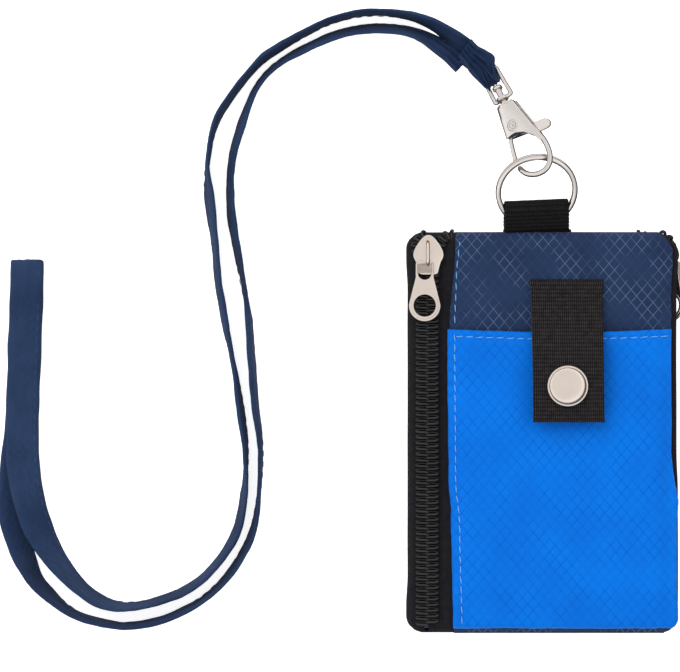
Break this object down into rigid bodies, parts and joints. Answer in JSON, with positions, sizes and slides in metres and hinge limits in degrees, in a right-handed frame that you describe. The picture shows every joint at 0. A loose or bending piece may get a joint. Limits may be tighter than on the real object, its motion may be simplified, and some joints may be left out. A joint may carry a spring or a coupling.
{
  "type": "lanyard wallet",
  "caption": "Small zip wallet lying on its back, with a snap pocket, a badge window and a neck lanyard on a trigger snap and split ring.",
  "frame": {"origin": "middle of the footprint of all pieces but the lanyard, on the table under the wallet's back", "axes": "+X to the wallet's right, +Y from the wallet to its split ring, +Z out of its front"},
  "size_m": [0.2066, 0.1872, 0.0218],
  "materials": {
    "strap_webbing": "flat navy webbing",
    "nickel": "polished pale nickel",
    "navy_cloth": "navy ripstop",
    "blue_cloth": "royal blue ripstop",
    "black_tape": "woven zip tape",
    "black_coil": "nylon coil",
    "black_webbing": "ribbed webbing",
    "clear_film": "clear soft film",
    "grey_lining": "plain lining"
  },
  "bodies": {
    "lanyard": {"lanyard_strap": "strap_webbing"},
    "eye": {"clasp_eye": "nickel"},
    "hook": {"clasp_hook": "nickel", "gate_rivet": "nickel", "gate_spring": "nickel"},
    "gate": {"clasp_gate": "nickel"},
    "ring": {"split_ring": "nickel"},
    "keeper": {"ring_keeper": "black_webbing"},
    "wallet": {"front_panel": "navy_cloth", "front_pocket": "blue_cloth", "back_panel": "navy_cloth", "window_film": "clear_film", "window_lining": "grey_lining", "divider": "navy_cloth", "front_tape_inner": "black_tape", "front_tape_outer": "black_tape", "back_tape_inner": "black_tape", "back_tape_outer": "black_tape", "front_coil_inner": "black_coil", "front_coil_outer": "black_coil", "back_coil_inner": "black_coil", "back_coil_outer": "black_coil", "snap_stud": "nickel", "snap_stud_back": "nickel"},
    "front_slider": {"front_slider": "nickel"},
    "front_pull": {"front_pull": "nickel"},
    "back_slider": {"back_slider": "nickel"},
    "back_pull": {"back_pull": "nickel"},
    "snap_tab": {"snap_tab": "black_webbing", "snap_cap": "nickel", "snap_socket": "nickel"}
  },
  "joints": [
    {"name": "eye_hinge", "type": "hinge", "parent": "lanyard", "child": "eye", "pos_m": [-0.01671, 0.08349, 0.00578], "axis": [0.7635, 0.5233, 0.3784], "range_deg": [-60, 60]},
    {"name": "hook_swivel", "type": "hinge", "parent": "eye", "child": "hook", "pos_m": [-0.01206, 0.0736, 0.01009], "axis": [-0.3956, 0.8421, -0.3665], "continuous": true},
    {"name": "gate_hinge", "type": "hinge", "parent": "hook", "child": "gate", "pos_m": [-0.00913, 0.06736, 0.0128], "axis": [-0.5105, 0.1301, 0.85], "range_deg": [0, 16], "stiffness_Nm_per_rad": 0.008, "springref_deg": -22.92, "deforming": ["gate_spring"]},
    {"name": "ring_on_hook", "type": "hinge", "parent": "hook", "child": "ring", "pos_m": [-0.00314, 0.05794, 0.01792], "axis": [0.682, 0.6707, 0.2916], "range_deg": [0, 80]},
    {"name": "keeper_on_ring", "type": "hinge", "parent": "ring", "child": "keeper", "pos_m": [-0.00253, 0.04801, 0.0124], "axis": [0.0872, -0.483, 0.8713], "range_deg": [-60, 60]},
    {"name": "keeper_flex", "type": "hinge", "parent": "keeper", "child": "wallet", "pos_m": [-0.00063, 0.03506, 0.005], "axis": [1, 0, 0], "range_deg": [-30, 90], "deforming": ["ring_keeper"]},
    {"name": "front_zip_slide", "type": "slide", "parent": "wallet", "child": "front_slider", "axis": [0, -1, 0], "range_m": [0, 0.098], "deforming": ["front_coil_inner", "front_coil_outer"]},
    {"name": "back_zip_slide", "type": "slide", "parent": "wallet", "child": "back_slider", "axis": [0, -1, 0], "range_m": [0, 0.098], "deforming": ["back_coil_inner", "back_coil_outer"]},
    {"name": "front_pull_hinge", "type": "hinge", "parent": "front_slider", "child": "front_pull", "pos_m": [-0.03756, 0.02566, 0.01394], "axis": [-0.9782, 0, -0.2079], "range_deg": [0, 150]},
    {"name": "back_pull_hinge", "type": "hinge", "parent": "back_slider", "child": "back_pull", "pos_m": [0.03859, 0.02566, 0.00343], "axis": [0.8062, 0, 0.5916], "range_deg": [0, 150]},
    {"name": "snap_tab_hinge", "type": "hinge", "parent": "wallet", "child": "snap_tab", "pos_m": [0.00662, 0.02071, 0.01325], "axis": [-1, 0, 0], "range_deg": [0, 150]}
  ]
}
